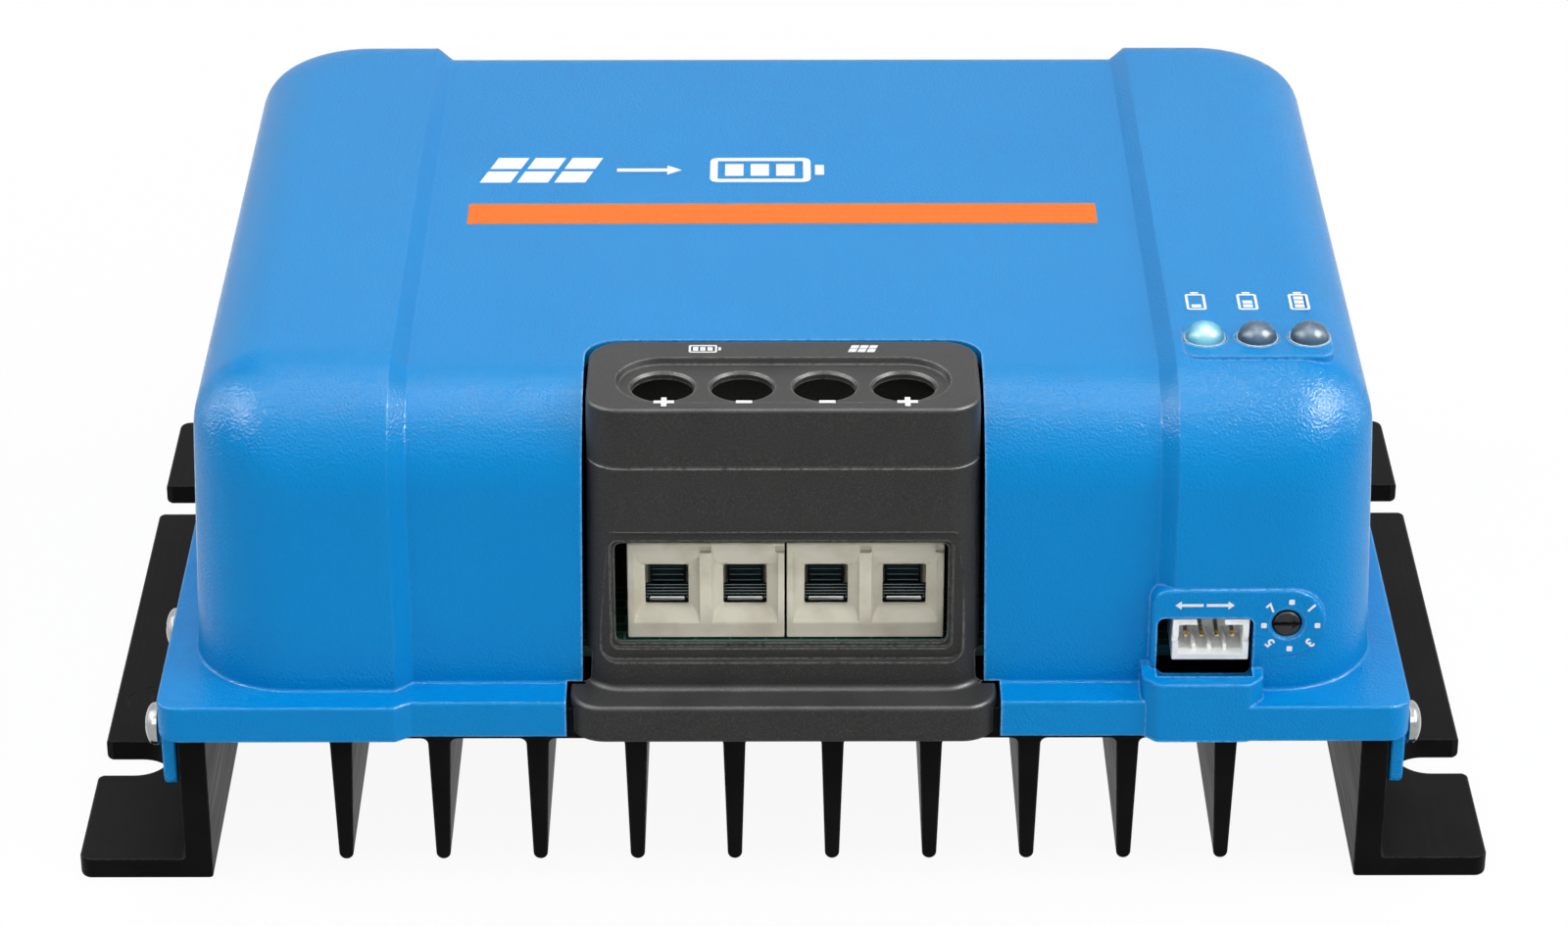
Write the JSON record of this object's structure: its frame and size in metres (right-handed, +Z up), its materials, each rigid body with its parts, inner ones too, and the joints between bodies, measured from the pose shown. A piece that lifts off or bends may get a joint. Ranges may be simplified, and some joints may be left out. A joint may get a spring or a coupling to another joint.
{
  "type": "charge controller",
  "caption": "Wall-hung solar charge controller: finned heat sink with slotted flanges, stepped cast cover, hooded screw terminals, status lamps, data socket and rotary selector.",
  "frame": {"origin": "centre of the overall box, on the plane of the flanges' undersides", "axes": "+X to the right seen from the terminal side, +Y away from the terminals, +Z up from the flanges to the cover"},
  "size_m": [0.186, 0.13, 0.0721],
  "materials": {
    "heat_sink": "satin black anodised",
    "cover": "blue powder coat, fine orange peel",
    "shroud": "fine matt grain",
    "zinc": "zinc plated",
    "brass": "nickel plated",
    "gold": "gold flash",
    "board": "solder mask",
    "beige_nylon": "moulded",
    "white_nylon": "moulded",
    "black_plastic": "moulded",
    "ferrite": "ground ferrite",
    "copper": "enamelled wire",
    "capacitor_sleeve": "shrink sleeve",
    "silicone": "matt sheet",
    "lens": "diffused lens",
    "led": "phosphor"
  },
  "bodies": {
    "housing": {"heat_sink": "heat_sink", "cover": "cover", "terminal_shroud": "shroud", "side_screw_1": "zinc", "side_screw_2": "zinc", "side_screw_3": "zinc", "side_screw_4": "zinc", "earth_screw": "zinc", "board_screw_1": "zinc", "board_screw_2": "zinc", "board_screw_3": "zinc", "board_screw_4": "zinc", "clamp_bar": "zinc", "clamp_bar_screw_1": "zinc", "clamp_bar_screw_2": "zinc", "standoff_1": "brass", "standoff_2": "brass", "standoff_3": "brass", "standoff_4": "brass", "contact_bar_1": "brass", "contact_bar_2": "brass", "contact_bar_3": "brass", "contact_bar_4": "brass", "connector_pin_1": "gold", "connector_pin_2": "gold", "connector_pin_3": "gold", "connector_pin_4": "gold", "circuit_board": "board", "terminal_block_battery": "beige_nylon", "terminal_block_panel": "beige_nylon", "data_connector": "white_nylon", "selector_switch": "black_plastic", "transistor_1": "black_plastic", "transistor_2": "black_plastic", "transistor_3": "black_plastic", "transistor_4": "black_plastic", "inductor_core": "ferrite", "inductor_winding": "copper", "capacitor_1": "capacitor_sleeve", "capacitor_2": "capacitor_sleeve", "capacitor_3": "capacitor_sleeve", "thermal_pad": "silicone", "status_lamp_1": "lens", "status_lamp_2": "lens", "status_lamp_3": "lens", "status_led_1": "led", "status_led_2": "led", "status_led_3": "led"},
    "selector_rotor": {"selector_rotor": "black_plastic"},
    "clamp_screw_1": {"clamp_screw_1": "zinc"},
    "clamp_screw_2": {"clamp_screw_2": "zinc"},
    "clamp_screw_3": {"clamp_screw_3": "zinc"},
    "clamp_screw_4": {"clamp_screw_4": "zinc"},
    "clamp_cage_1": {"clamp_cage_1": "zinc"},
    "clamp_cage_2": {"clamp_cage_2": "zinc"},
    "clamp_cage_3": {"clamp_cage_3": "zinc"},
    "clamp_cage_4": {"clamp_cage_4": "zinc"}
  },
  "joints": [
    {"name": "selector_turn", "type": "hinge", "parent": "housing", "child": "selector_rotor", "pos_m": [0.0649, -0.06055, 0.0375], "axis": [0, -1, 0], "continuous": true},
    {"name": "clamp_screw_1_turn", "type": "hinge", "parent": "housing", "child": "clamp_screw_1", "pos_m": [-0.01513, -0.0498, 0.0543], "axis": [0, 0, -1], "range_deg": [0, 2070.5]},
    {"name": "clamp_cage_1_rise", "type": "slide", "parent": "housing", "child": "clamp_cage_1", "axis": [0, 0, 1], "range_m": [0, 0.0046]},
    {"name": "clamp_screw_2_turn", "type": "hinge", "parent": "housing", "child": "clamp_screw_2", "pos_m": [-0.00497, -0.0498, 0.0543], "axis": [0, 0, -1], "range_deg": [0, 2070.5]},
    {"name": "clamp_cage_2_rise", "type": "slide", "parent": "housing", "child": "clamp_cage_2", "axis": [0, 0, 1], "range_m": [0, 0.0046]},
    {"name": "clamp_screw_3_turn", "type": "hinge", "parent": "housing", "child": "clamp_screw_3", "pos_m": [0.00557, -0.0498, 0.0543], "axis": [0, 0, -1], "range_deg": [0, 2070.5]},
    {"name": "clamp_cage_3_rise", "type": "slide", "parent": "housing", "child": "clamp_cage_3", "axis": [0, 0, 1], "range_m": [0, 0.0046]},
    {"name": "clamp_screw_4_turn", "type": "hinge", "parent": "housing", "child": "clamp_screw_4", "pos_m": [0.01573, -0.0498, 0.0543], "axis": [0, 0, -1], "range_deg": [0, 2070.5]},
    {"name": "clamp_cage_4_rise", "type": "slide", "parent": "housing", "child": "clamp_cage_4", "axis": [0, 0, 1], "range_m": [0, 0.0046]}
  ],
  "couplings": [
    {"joint": "clamp_screw_1_turn", "follows": "clamp_cage_1_rise", "rad_per_m": 7854},
    {"joint": "clamp_screw_2_turn", "follows": "clamp_cage_2_rise", "rad_per_m": 7854},
    {"joint": "clamp_screw_3_turn", "follows": "clamp_cage_3_rise", "rad_per_m": 7854},
    {"joint": "clamp_screw_4_turn", "follows": "clamp_cage_4_rise", "rad_per_m": 7854}
  ]
}
